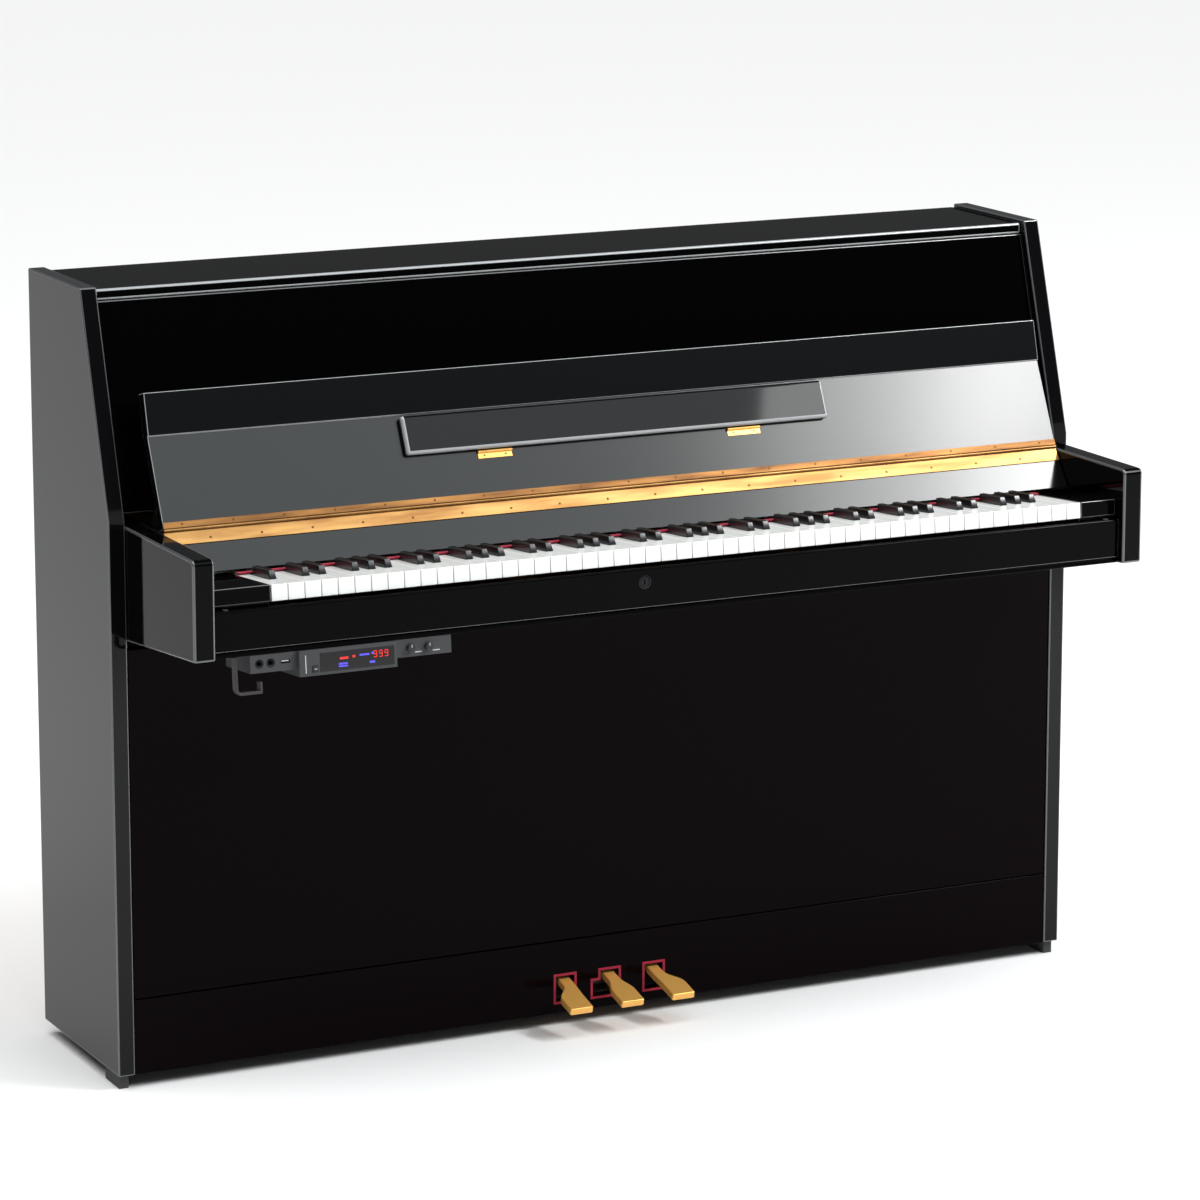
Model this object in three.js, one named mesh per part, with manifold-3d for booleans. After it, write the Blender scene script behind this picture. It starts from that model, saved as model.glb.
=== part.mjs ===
// A compact upright piano with an 88-note keyboard, built as separate pieces the way it comes apart.
// Millimetres, +Z up. The player sits on the -Y side and +X is the treble end.
// Inside the `piano` group y = 0 is the front of the case under the keyboard, and +y goes to its back.
import * as THREE from 'three';
import Module from 'manifold-3d';
import { mergeVertices } from 'three/addons/utils/BufferGeometryUtils.js';

const wasm = await Module();
wasm.setup();

// ---------------------------------------------------------------- driving dimensions
const WIDTH = 1485;
const HEIGHT = 1090;
const DEPTH = 539;
const ARM_REACH = 244; // how far the arms stand in front of the case
const CASE_DEPTH = DEPTH - ARM_REACH;
const GAP = 0.3; // kept between pieces that touch
const SIDE_THICKNESS = 24;
const FLOOR_CLEARANCE = 20; // under the side panels
const SLOPE_START = 788; // height where the side panel's front edge starts to lean back
const TOP_SETBACK = 92; // how far back the front edge is at the top
const TILT = THREE.MathUtils.degToRad(4.9); // the keyboard rises towards the player
const KEY_FRONT = new THREE.Vector2(-221, 734); // y, z of the white keys' top front edge
const KEYBOARD_CENTRE = 15; // the bass key block is wider than the treble one
const WHITE_PITCH = 23.68;
const WHITE_COUNT = 52;
const KEY_PIVOT = 215; // the balance rail, behind the key fronts
const FALLBOARD_PIN = new THREE.Vector2(-60, 783); // y, z of the fallboard's long hinge
const FALLBOARD_LEAN = THREE.MathUtils.degToRad(25);
const LIP_LEAN = THREE.MathUtils.degToRad(14.4);
const PEDAL_SPACING = 70;

const INNER_HALF = WIDTH / 2 - SIDE_THICKNESS; // half the room between the side panels
const ARM_THICKNESS = 30.2;
const ARM_OUTER = INNER_HALF - GAP;
const ARM_INNER = ARM_OUTER - ARM_THICKNESS;
const KEYS_HALF = (WHITE_PITCH * WHITE_COUNT) / 2;
const BED_BOTTOM = -90; // heights inside the keyboard group, from the white key tops
const BED_TOP = BED_BOTTOM + 36;

// ---------------------------------------------------------------- materials
const finish = (color, roughness, metalness = 0) =>
  new THREE.MeshStandardMaterial({ color, roughness, metalness });
const ebony = finish(0x08080a, 0.08);
const satinBlack = finish(0x111113, 0.45);
const keyWhite = finish(0xf2f1ec, 0.25);
const brass = finish(0xc99b45, 0.3, 1);
const spruce = finish(0xcda46c, 0.6);
const beech = finish(0xb98d5c, 0.6);
const castIron = finish(0xb08a3a, 0.4, 0.8);
const steel = finish(0xb8bbc0, 0.3, 1);
const rubber = finish(0x19191a, 0.8);
const felt = finish(0x8c1026, 0.95);
const whiteFelt = finish(0xdedad0, 0.95);
const plastic = finish(0x1a1b1d, 0.5);

// ---------------------------------------------------------------- shape helpers
const outline = (points) => new THREE.Shape(points.map(([a, b]) => new THREE.Vector2(a, b)));

// Extrudes an outline and lays its plane along two of the axes.
function extrude(shape, depth, across, up, out, curveSegments = 6) {
  const geometry = new THREE.ExtrudeGeometry(shape, { depth, bevelEnabled: false, curveSegments });
  return geometry.applyMatrix4(new THREE.Matrix4().makeBasis(across, up, out));
}

const X = new THREE.Vector3(1, 0, 0);
const Y = new THREE.Vector3(0, 1, 0);
const Z = new THREE.Vector3(0, 0, 1);

// A (y, z) profile drawn along x.
const profile = (shape, x0, x1, curveSegments) =>
  extrude(shape, x1 - x0, Y, Z, X, curveSegments).translate(x0, 0, 0);
// An (x, z) outline seen from the front, drawn back along y.
const frontal = (shape, y0, y1, curveSegments) =>
  extrude(shape, y1 - y0, X, Z, Y.clone().negate(), curveSegments).translate(0, y1, 0);
// An (x, y) plan drawn up along z.
const plan = (shape, z0, z1, curveSegments) =>
  extrude(shape, z1 - z0, X, Y, Z, curveSegments).translate(0, 0, z0);

const box = (x0, x1, y0, y1, z0, z1) =>
  new THREE.BoxGeometry(x1 - x0, y1 - y0, z1 - z0).translate((x0 + x1) / 2, (y0 + y1) / 2, (z0 + z1) / 2);

const rectangle = (a0, a1, b0, b1) => outline([[a0, b0], [a1, b0], [a1, b1], [a0, b1]]);

function solid(geometry) {
  const bare = geometry.clone();
  bare.deleteAttribute('normal');
  bare.deleteAttribute('uv');
  const merged = mergeVertices(bare, 1e-4);
  return new wasm.Manifold(
    new wasm.Mesh({
      numProp: 3,
      vertProperties: new Float32Array(merged.attributes.position.array),
      triVerts: new Uint32Array(merged.index.array),
    }),
  );
}

function surface(manifold) {
  const mesh = manifold.getMesh();
  const geometry = new THREE.BufferGeometry();
  geometry.setAttribute('position', new THREE.BufferAttribute(new Float32Array(mesh.vertProperties), 3));
  geometry.setIndex(new THREE.BufferAttribute(new Uint32Array(mesh.triVerts), 1));
  return geometry;
}

const join = (pieces) => surface(pieces.map(solid).reduce((whole, piece) => whole.add(piece)));
const cut = (piece, holes) =>
  surface(holes.map(solid).reduce((rest, hole) => rest.subtract(hole), solid(piece)));

const piano = new THREE.Group();
piano.position.y = ARM_REACH - DEPTH / 2;

function add(parent, name, geometry, material) {
  const mesh = new THREE.Mesh(geometry, material);
  mesh.name = name;
  parent.add(mesh);
  return mesh;
}

const sides = [
  ['left', -1],
  ['right', 1],
];

// Orders a mirrored pair of x values.
const span = (side, near, far) => (side < 0 ? [-far, -near] : [near, far]);

// ---------------------------------------------------------------- case
const slopeAt = (z) => (TOP_SETBACK * (z - SLOPE_START)) / (HEIGHT - SLOPE_START);

function addCase() {
  const panel = outline([
    [0, FLOOR_CLEARANCE],
    [CASE_DEPTH, FLOOR_CLEARANCE],
    [CASE_DEPTH, HEIGHT],
    [TOP_SETBACK, HEIGHT],
    [0, SLOPE_START],
  ]);
  const footLength = 54;
  const footRecess = 10;
  const footInset = 4;
  const footThickness = 14;
  for (const [word, side] of sides) {
    add(piano, `side_panel_${word}`, profile(panel, ...span(side, INNER_HALF, WIDTH / 2)), ebony);
    const across = span(side, WIDTH / 2 - footInset - footThickness, WIDTH / 2 - footInset);
    const foot = box(...across, footRecess, footRecess + footLength, 0, FLOOR_CLEARANCE - GAP);
    add(piano, `front_foot_${word}`, foot, rubber);
  }

  const lidTop = HEIGHT - 4.5;
  const lidThickness = 15;
  const lidHalf = INNER_HALF - 0.6;
  const lidFront = TOP_SETBACK + 8;
  const lid = rectangle(lidFront, CASE_DEPTH - 3, lidTop - lidThickness, lidTop);
  add(piano, 'top_lid', profile(lid, -lidHalf, lidHalf), ebony);

  // The upper panel leans with the side panels' front edges, a little behind them.
  const panelSetback = 14;
  const panelThickness = 16;
  const panelBottom = 795;
  const panelTop = lidTop - lidThickness - 1;
  const upper = outline([
    [slopeAt(panelBottom) + panelSetback, panelBottom],
    [slopeAt(panelBottom) + panelSetback + panelThickness, panelBottom],
    [slopeAt(panelTop) + panelSetback + panelThickness, panelTop],
    [slopeAt(panelTop) + panelSetback, panelTop],
  ]);
  add(piano, 'upper_front_panel', profile(upper, -INNER_HALF + GAP, INNER_HALF - GAP), ebony);

  const doorFront = 2;
  const boardThickness = 18;
  const railTop = 125;
  const doorTop = 612;
  const doorHalf = INNER_HALF - 1;
  const door = box(-doorHalf, doorHalf, doorFront, doorFront + boardThickness, railTop + 1.5, doorTop);
  add(piano, 'bottom_door', door, ebony);

  const railHalf = INNER_HALF - GAP;
  const rail = box(-railHalf, railHalf, doorFront, doorFront + boardThickness, FLOOR_CLEARANCE, railTop);
  const slots = pedalSlots().map((slot) => frontal(slot, -20, 40));
  add(piano, 'bottom_rail', cut(rail, slots), ebony);

  const boardFront = doorFront + boardThickness + GAP;
  const board = box(-INNER_HALF + GAP, INNER_HALF - GAP, boardFront, 240, FLOOR_CLEARANCE, 38);
  add(piano, 'bottom_board', board, satinBlack);
}

// The slots that the pedals move in. The middle one steps aside at its foot, where the pedal locks down.
const SLOT = { half: 15, bottom: 37, top: 74, step: 12, stepTop: 60 };

function pedalSlots() {
  return [-1, 0, 1].map((place) => {
    const x = place * PEDAL_SPACING;
    const step = place === 0 ? SLOT.step : 0;
    return outline([
      [x - SLOT.half - step, SLOT.bottom],
      [x + SLOT.half, SLOT.bottom],
      [x + SLOT.half, SLOT.top],
      [x - SLOT.half, SLOT.top],
      [x - SLOT.half, SLOT.stepTop],
      ...(step ? [[x - SLOT.half - step, SLOT.stepTop]] : []),
    ]);
  });
}

// ---------------------------------------------------------------- back, soundboard, plate and strings
const FRAME_BOTTOM = 62;
const FRAME_TOP = 1060;
const FRAME_HALF = 706;

function addBack() {
  const beam = 118;
  const post = 74;
  const bays = 4;
  const frameDepth = [246, 291];
  const boardDepth = [216, 225];
  const plateDepth = [190, 203];
  const bridgeDepth = [184, boardDepth[0] - GAP];
  const back = box(-FRAME_HALF, FRAME_HALF, ...frameDepth, FRAME_BOTTOM, FRAME_TOP);
  const bayWidth = (2 * FRAME_HALF - (bays + 1) * post) / bays;
  const windows = Array.from({ length: bays }, (_, bay) => {
    const x = -FRAME_HALF + post + bay * (bayWidth + post);
    return box(x, x + bayWidth, 200, 320, FRAME_BOTTOM + beam, FRAME_TOP - beam);
  });
  // The pin block is glued to the top beam, so the two are one piece.
  const pinBlock = box(-650, 650, plateDepth[1] + 2, frameDepth[0] + 1, 930, FRAME_TOP - 5);
  add(piano, 'back_frame', join([cut(back, windows), pinBlock]), beech);

  const boardHalf = 690;
  const board = box(-boardHalf, boardHalf, ...boardDepth, 90, 920);
  const ribs = [];
  const ribCount = 9;
  const ribLength = 760;
  for (let rib = 0; rib < ribCount; rib += 1) {
    const x = THREE.MathUtils.lerp(-boardHalf + 150, boardHalf - 150, rib / (ribCount - 1));
    const length = Math.min(ribLength, 2 * (boardHalf - Math.abs(x)) * 1.3);
    const strip = box(-12, 12, boardDepth[1] - 1, boardDepth[1] + 15, -length / 2, length / 2);
    strip.rotateY(THREE.MathUtils.degToRad(38));
    ribs.push(strip.translate(x, 0, 505));
  }
  add(piano, 'soundboard', join([board, ...ribs]), spruce);

  const plate = box(-700, 700, ...plateDepth, 70, 1050);
  const plateHoles = [
    outline([[-640, 200], [-340, 130], [-140, 330], [-470, 840], [-640, 840]]),
    outline([[-90, 330], [-20, 250], [300, 500], [300, 840], [-400, 840]]),
    outline([[350, 520], [620, 640], [620, 840], [350, 840]]),
  ];
  // Each bridge follows an arc across the soundboard, and the plate is cut clear of it.
  const bridge = (points, half, y0, y1) => {
    const curve = new THREE.QuadraticBezierCurve(...points.map(([x, z]) => new THREE.Vector2(x, z)));
    const rim = (sign) => curve.getPoints(8).map((point, i) => {
      const along = curve.getTangent(i / 8);
      return [point.x - sign * along.y * half, point.y + sign * along.x * half];
    });
    return frontal(outline([...rim(-1), ...rim(1).reverse()]), y0, y1);
  };
  const bassLine = [[-600, 235], [-420, 185], [-260, 300]];
  const trebleLine = [[-60, 330], [240, 520], [590, 700]];
  const bridgeHalf = 14;
  add(piano, 'bass_bridge', bridge(bassLine, bridgeHalf, ...bridgeDepth), beech);
  add(piano, 'treble_bridge', bridge(trebleLine, bridgeHalf, ...bridgeDepth), beech);
  const clearances = [bassLine, trebleLine].map((line) => bridge(line, bridgeHalf + 3, 180, 215));
  const openings = plateHoles.map((hole) => frontal(hole, 180, 215));
  add(piano, 'iron_plate', cut(plate, [...openings, ...clearances]), castIron);

  // A string band is a row of strings held by the bars at its ends.
  const strings = (count, top, bottomAt, y0, y1) => {
    const wire = 1.2;
    return top.map((end, i) => {
      const bottom = bottomAt(i / (count - 1));
      const shape = outline([
        [bottom[0] - wire, bottom[1]], [bottom[0] + wire, bottom[1]],
        [end[0] + wire, end[1]], [end[0] - wire, end[1]]]);
      return frontal(shape, y0, y1);
    });
  };
  const row = (count, x0, x1, z) =>
    Array.from({ length: count }, (_, i) => [THREE.MathUtils.lerp(x0, x1, i / (count - 1)), z]);
  const bassCount = 16;
  const bassEnd = (t) => [THREE.MathUtils.lerp(-560, -190, t), THREE.MathUtils.lerp(150, 232, t)];
  const bass = strings(bassCount, row(bassCount, -600, -330, 1000), bassEnd, 175, 176.5);
  const bassBars = [
    box(-610, -320, 174, 177.5, 996, 1006),
    frontal(outline([[-566, 144], [-184, 226], [-184, 238], [-566, 156]]), 174, 177.5),
  ];
  add(piano, 'strings_bass', join([...bassBars, ...bass]), finish(0xb8703c, 0.4, 1));
  const trebleCount = 30;
  const trebleEnd = (t) => [THREE.MathUtils.lerp(-80, 630, t), THREE.MathUtils.lerp(230, 640, t)];
  const treble = strings(trebleCount, row(trebleCount, -300, 620, 1000), trebleEnd, 181, 182.5);
  const trebleBars = [
    box(-310, 630, 180, 183.5, 996, 1006),
    frontal(outline([[-86, 220], [636, 637], [636, 649], [-86, 232]]), 180, 183.5),
  ];
  add(piano, 'strings_treble', join([...trebleBars, ...treble]), steel);
}

function addCasters() {
  const wheelRadius = 22;
  const wheelY = 268;
  const wheelHalf = 9;
  for (const [word, side] of sides) {
    const x = side * 560;
    const wheel = new THREE.CylinderGeometry(wheelRadius, wheelRadius, 2 * wheelHalf, 20);
    const wheelMesh = add(piano, `rear_caster_wheel_${word}`, wheel.rotateZ(Math.PI / 2), rubber);
    wheelMesh.position.set(x, wheelY, wheelRadius);
    const fork = frontal(
      outline([
        [-18, 10], [-10.5, 10], [-10.5, 48], [10.5, 48], [10.5, 10],
        [18, 10], [18, FRAME_BOTTOM - GAP], [-18, FRAME_BOTTOM - GAP]]),
      wheelY - 14, wheelY + 14);
    add(piano, `rear_caster_fork_${word}`, fork.translate(x, 0, 0), steel);
  }
}

// ---------------------------------------------------------------- keyboard, in its tilted group
const keyboard = new THREE.Group();
keyboard.position.set(0, KEY_FRONT.x, KEY_FRONT.y);
keyboard.rotation.x = -TILT;
piano.add(keyboard);

const KEY_HEIGHT = 22;
const KEY_SEAM = 1;
const KEY_BAR = [322, 332]; // joins the white keys of a group at their hidden back ends
const HEAD_LENGTH = 48.6;
const BLACK = { width: 10.5, start: 50.8, end: 112, height: 11.5, room: 1.4 };
const BLACK_TAIL = { low: 1.5, lowEnd: 158, high: 5 };
const BLACK_BAR = { start: 206, end: 218, bottom: 2, top: 10 };

// Sharps stand to the right of these white keys, counted up from the lowest A.
const hasSharp = (white) => white >= 0 && white < WHITE_COUNT - 1 && ![1, 4].includes(white % 7);
const seamX = (white) => KEYBOARD_CENTRE - KEYS_HALF + white * WHITE_PITCH;

// The first group runs from the lowest A to B, and each later one from a C to its B.
const groupStarts = [0, 9, 16, 23, 30, 37, 44, WHITE_COUNT];

function whiteKeys(first, last) {
  const pieces = [box(seamX(first) + KEY_SEAM / 2, seamX(last) - KEY_SEAM / 2, ...KEY_BAR, -KEY_HEIGHT, -8)];
  for (let white = first; white < last; white += 1) {
    const left = seamX(white) + KEY_SEAM / 2;
    const right = seamX(white + 1) - KEY_SEAM / 2;
    const notch = BLACK.width / 2 + BLACK.room;
    const leftTail = hasSharp(white - 1) ? seamX(white) + notch : left;
    const rightTail = hasSharp(white) ? seamX(white + 1) - notch : right;
    pieces.push(box(left, right, 0, HEAD_LENGTH, -KEY_HEIGHT, 0));
    pieces.push(box(leftTail, rightTail, HEAD_LENGTH - 1, KEY_BAR[0] + 1, -KEY_HEIGHT, 0));
  }
  return join(pieces);
}

function blackKeys(first, last) {
  const seams = [];
  for (let white = first; white < last; white += 1) if (hasSharp(white)) seams.push(seamX(white + 1));
  const half = BLACK.width / 2;
  const bar = box(
    seams[0] - half, seams.at(-1) + half, BLACK_BAR.start, BLACK_BAR.end, BLACK_BAR.bottom, BLACK_BAR.top);
  // Behind its sharp each key runs low, under the fallboard, and then up to the bar.
  const steps = [
    [BLACK.start, BLACK.end, BLACK.height],
    [BLACK.end - 1, BLACK_TAIL.lowEnd, BLACK_TAIL.low],
    [BLACK_TAIL.lowEnd - 1, BLACK_BAR.end - 1, BLACK_TAIL.high],
  ];
  const keys = seams.flatMap((x) =>
    steps.map(([start, end, top]) => box(x - half, x + half, start, end, -KEY_HEIGHT + 2, top)));
  return join([bar, ...keys]);
}

function addKeyboard() {
  const bedHalf = ARM_INNER - GAP;
  const rebate = BED_BOTTOM + 7; // the key slip stands in it
  const bed = outline([
    [-1, BED_BOTTOM], [285, BED_BOTTOM], [285, BED_TOP], [8, BED_TOP], [8, rebate], [-1, rebate]]);
  add(keyboard, 'key_bed', profile(bed, -bedHalf, bedHalf), ebony);

  const rails = [
    box(-KEYS_HALF, KEYS_HALF, 8, 48, BED_TOP + GAP, BED_TOP + 14),
    box(-KEYS_HALF, KEYS_HALF, KEY_PIVOT - 15, KEY_PIVOT + 15, BED_TOP + GAP, -32),
    box(-KEYS_HALF, KEYS_HALF, KEY_PIVOT - 3, KEY_PIVOT + 3, -33, -KEY_HEIGHT - GAP),
    box(-KEYS_HALF, KEYS_HALF, 295, 325, -44, -KEY_HEIGHT - GAP),
    ...[-1, -0.34, 0.34, 1].map((at) => {
      const x = at * (KEYS_HALF - 20);
      return box(x - 18, x + 18, 20, 310, BED_TOP + GAP, BED_TOP + 12);
    }),
  ];
  add(keyboard, 'key_frame', join(rails).translate(KEYBOARD_CENTRE, 0, 0), beech);

  groupStarts.slice(0, -1).forEach((first, i) => {
    add(keyboard, `white_keys_${i + 1}`, whiteKeys(first, groupStarts[i + 1]), keyWhite);
    add(keyboard, `black_keys_${i + 1}`, blackKeys(first, groupStarts[i + 1]), satinBlack);
  });

  const blockBottom = BED_TOP + GAP;
  const blockEnds = {
    left: [-bedHalf, KEYBOARD_CENTRE - KEYS_HALF - 0.8],
    right: [KEYBOARD_CENTRE + KEYS_HALF + 0.8, bedHalf],
  };
  for (const [word, [x0, x1]] of Object.entries(blockEnds)) {
    const block = outline([
      [0.5, 0.5], [0.5, -KEY_HEIGHT], [7, -KEY_HEIGHT],
      [7, blockBottom], [150, blockBottom], [150, 0.5]]);
    add(keyboard, `key_block_${word}`, profile(block, x0, x1), ebony);
  }
}

// ---------------------------------------------------------------- arms, key slip and lock
const SLIP_FRONT = -232;
const SLIP_TOP = 707.5;
const SLIP_BOTTOM = 653;
const ARM_TOP = 780;

function addArms() {
  const front = -ARM_REACH;
  const bevel = 8;
  const back = 60;
  const underside = (y) => 645 - Math.tan(TILT) * (y - front);
  const arm = new THREE.Shape();
  arm.moveTo(back, underside(back));
  arm.lineTo(back, ARM_TOP);
  arm.lineTo(front + bevel, ARM_TOP);
  arm.absarc(front + bevel, ARM_TOP - bevel, bevel, Math.PI / 2, Math.PI, false);
  arm.lineTo(front, underside(front));
  for (const [word, side] of sides) {
    add(piano, `arm_${word}`, profile(arm, ...span(side, ARM_INNER, ARM_OUTER)), ebony);
  }

  const slipHalf = ARM_INNER - GAP;
  const slipThickness = 8;
  const slip = new THREE.Shape();
  slip.moveTo(SLIP_FRONT, SLIP_BOTTOM);
  slip.lineTo(SLIP_FRONT + slipThickness, SLIP_BOTTOM);
  slip.lineTo(SLIP_FRONT + slipThickness, SLIP_TOP);
  slip.lineTo(SLIP_FRONT + 3, SLIP_TOP);
  slip.absarc(SLIP_FRONT + 3, SLIP_TOP - 3, 3, Math.PI / 2, Math.PI, false);
  const lockX = -62;
  const lockZ = 688;
  const lockRadius = 7;
  const bore = new THREE.CylinderGeometry(lockRadius + GAP, lockRadius + GAP, 30, 24);
  const slipStrip = profile(slip, -slipHalf, slipHalf);
  add(piano, 'key_slip', cut(slipStrip, [bore.translate(lockX, SLIP_FRONT, lockZ)]), ebony);
  const lock = new THREE.CylinderGeometry(lockRadius, lockRadius, slipThickness, 24);
  const keyhole = box(-0.8, 0.8, -slipThickness, 0, -4, 4);
  const lockMesh = add(piano, 'lock_cylinder', cut(lock, [keyhole]), satinBlack);
  lockMesh.position.set(lockX, SLIP_FRONT + slipThickness / 2, lockZ);
}

// ---------------------------------------------------------------- fallboard, hinge and music desk
const FALLBOARD_HALF = ARM_INNER - 1.5;
const LEAF_LENGTH = 130; // from the pin to where the lip bends
const LIP_LENGTH = 58;
const LEAF_THICKNESS = 15;
const HINGE_RADIUS = 2.2;

// The leaf's own group: its y runs up the leaf's face from the pin, and z stands out of the face.
const leaf = new THREE.Group();
leaf.position.set(0, FALLBOARD_PIN.x, FALLBOARD_PIN.y);
leaf.rotation.x = Math.PI / 2 - FALLBOARD_LEAN;
piano.add(leaf);

function addFallboard() {
  const bottom = new THREE.Vector2(-101, 730);
  const down = bottom.clone().sub(FALLBOARD_PIN);
  const slope = down.clone().normalize();
  const inward = new THREE.Vector2(-slope.y, slope.x);
  const corner = (along, depth) =>
    FALLBOARD_PIN.clone().addScaledVector(slope, along).addScaledVector(inward, depth);
  const sink = 3;
  const boardDepth = sink + 15;
  // The lower edge is level, so that it clears the keys all the way back.
  const edgeAt = (depth) => (bottom.y - FALLBOARD_PIN.y - depth * inward.y) / slope.y;
  const lower = new THREE.Shape([
    corner(4, sink), corner(edgeAt(sink), sink),
    corner(edgeAt(boardDepth), boardDepth), corner(4, boardDepth)]);
  add(piano, 'fallboard_lower', profile(lower, -FALLBOARD_HALF, FALLBOARD_HALF), ebony);

  // The long hinge: one leaf on the lower board, with the pin's barrel, and one on the fallboard's leaf.
  const plateThickness = 1.2;
  const plateStart = HINGE_RADIUS + GAP;
  const fixedPlate = new THREE.Shape([
    corner(-1, sink - GAP), corner(21, sink - GAP), corner(21, sink - GAP - plateThickness),
    corner(-1, sink - GAP - plateThickness)]);
  const barrel = new THREE.CylinderGeometry(HINGE_RADIUS, HINGE_RADIUS, 2 * FALLBOARD_HALF, 12);
  const barrelAtPin = barrel.rotateZ(Math.PI / 2).translate(0, FALLBOARD_PIN.x, FALLBOARD_PIN.y);
  const fixed = join([profile(fixedPlate, -FALLBOARD_HALF, FALLBOARD_HALF), barrelAtPin]);
  add(piano, 'fallboard_hinge_lower', fixed, brass);
  const turning = box(-FALLBOARD_HALF, FALLBOARD_HALF, plateStart, 11, GAP, GAP + plateThickness);
  add(leaf, 'fallboard_hinge_upper', turning, brass);

  // The lip bends forward from the leaf and stands a little proud of it.
  const bend = FALLBOARD_LEAN - LIP_LEAN;
  const proud = 3;
  const lipThickness = 20;
  const along = new THREE.Vector2(Math.cos(bend), Math.sin(bend));
  const out = new THREE.Vector2(-along.y, along.x);
  const lipStart = new THREE.Vector2(LEAF_LENGTH, 0);
  const lipPoint = (a, b) => lipStart.clone().addScaledVector(along, a).addScaledVector(out, b);
  const main = rectangle(plateStart, LEAF_LENGTH + 4, -LEAF_THICKNESS, 0);
  const lip = new THREE.Shape([
    lipPoint(0, proud), lipPoint(0, proud - lipThickness), lipPoint(LIP_LENGTH, proud - lipThickness),
    lipPoint(LIP_LENGTH, proud)]);
  const leafBoard = join([main, lip].map((shape) => profile(shape, -FALLBOARD_HALF, FALLBOARD_HALF)));
  add(leaf, 'fallboard_leaf', leafBoard, ebony);

  // The music desk lies against the leaf and swings down on its lower edge.
  const deskHalf = 325;
  const deskBottom = 71;
  const deskTop = 126;
  const deskThickness = 11;
  const desk = new THREE.Shape();
  desk.moveTo(deskBottom, GAP);
  desk.lineTo(deskTop, GAP);
  desk.lineTo(deskTop, GAP + deskThickness - 5);
  desk.absarc(deskTop - 5, GAP + deskThickness - 5, 5, 0, Math.PI / 2, false);
  desk.lineTo(deskBottom, GAP + deskThickness);
  add(leaf, 'music_desk', profile(desk, -deskHalf, deskHalf), ebony);
}

// ---------------------------------------------------------------- action above the keys
function addAction() {
  const actionHalf = 640;
  const hammerCount = 44;
  const railY = 112;
  const shankTop = 872;
  const hammers = [box(-actionHalf, actionHalf, railY - 8, railY + 8, 752, 768)];
  for (let i = 0; i < hammerCount; i += 1) {
    const x = THREE.MathUtils.lerp(-actionHalf + 8, actionHalf - 8, i / (hammerCount - 1));
    hammers.push(box(x - 2.5, x + 2.5, railY - 3, railY + 3, 766, shankTop + 1));
    hammers.push(box(x - 5, x + 5, railY - 12, railY + 32, shankTop, shankTop + 20));
  }
  add(piano, 'hammer_set', join(hammers), whiteFelt);
  add(piano, 'muffler_rail', box(-actionHalf, actionHalf, 158, 163, 945, 985), whiteFelt);
  const dampers = [box(-actionHalf, 300, 150, 158, 770, 786)];
  const damperCount = 32;
  for (let i = 0; i < damperCount; i += 1) {
    const x = THREE.MathUtils.lerp(-actionHalf + 8, 292, i / (damperCount - 1));
    dampers.push(box(x - 2, x + 2, 152, 156, 784, 831));
    dampers.push(box(x - 5, x + 5, 151, 170, 830, 856));
  }
  add(piano, 'damper_set', join(dampers), whiteFelt);
  const brackets = [-1, -0.35, 0.35, 1].map((at) =>
    box(at * (actionHalf + 14) - 5, at * (actionHalf + 14) + 5, 62, 148, 735, 745));
  const beams = [box(-actionHalf - 19, actionHalf + 19, 62, 74, 733, 760), ...brackets];
  add(piano, 'action_rail', join(beams), beech);
}

// ---------------------------------------------------------------- pedals
const PEDAL = { pivotY: 56, tipY: -76, tipTop: 49, slotTop: 68, thickness: 10, back: 84 };

function addPedals() {
  const pitch = Math.atan((PEDAL.slotTop - PEDAL.tipTop) / -PEDAL.tipY);
  const pivotZ = PEDAL.slotTop + PEDAL.pivotY * Math.tan(pitch);
  const splay = { left: -10, middle: 0, right: 10 };
  Object.entries(splay).forEach(([word, shift], place) => {
    const length = (PEDAL.pivotY - PEDAL.tipY) / Math.cos(pitch);
    const stem = 9;
    const half = 17.5;
    const corner = 3;
    const flareEnd = -length + 30; // the pedal widens from the slot to here, then runs straight
    const flareStart = -PEDAL.pivotY - 12;
    const [left, right] = [shift - half, shift + half];
    const shape = new THREE.Shape();
    shape.moveTo(-stem, PEDAL.back - PEDAL.pivotY);
    shape.lineTo(-stem, flareStart);
    shape.bezierCurveTo(-stem, flareStart - 18, left, flareEnd + 16, left, flareEnd);
    shape.lineTo(left, -length + corner);
    shape.quadraticCurveTo(left, -length, left + corner, -length);
    shape.lineTo(right - corner, -length);
    shape.quadraticCurveTo(right, -length, right, -length + corner);
    shape.lineTo(right, flareEnd);
    shape.bezierCurveTo(right, flareEnd + 16, stem, flareStart - 18, stem, flareStart);
    shape.lineTo(stem, PEDAL.back - PEDAL.pivotY);
    const pedal = add(piano, `pedal_${word}`, plan(shape, -PEDAL.thickness, 0, 8), brass);
    pedal.position.set((place - 1) * PEDAL_SPACING, PEDAL.pivotY, pivotZ);
    pedal.rotation.x = pitch;
  });
  // The middle pedal's yoke swings sideways with it, so it can be locked down at the slot's step.
  const yoke = frontal(
    outline([
      [-17, 38.3], [17, 38.3], [17, 92], [9.6, 92], [9.6, 58], [-9.6, 58], [-9.6, 92], [-17, 92]]),
    PEDAL.pivotY - 8, PEDAL.pivotY + 8);
  add(piano, 'pedal_yoke_middle', yoke, steel);
}

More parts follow.
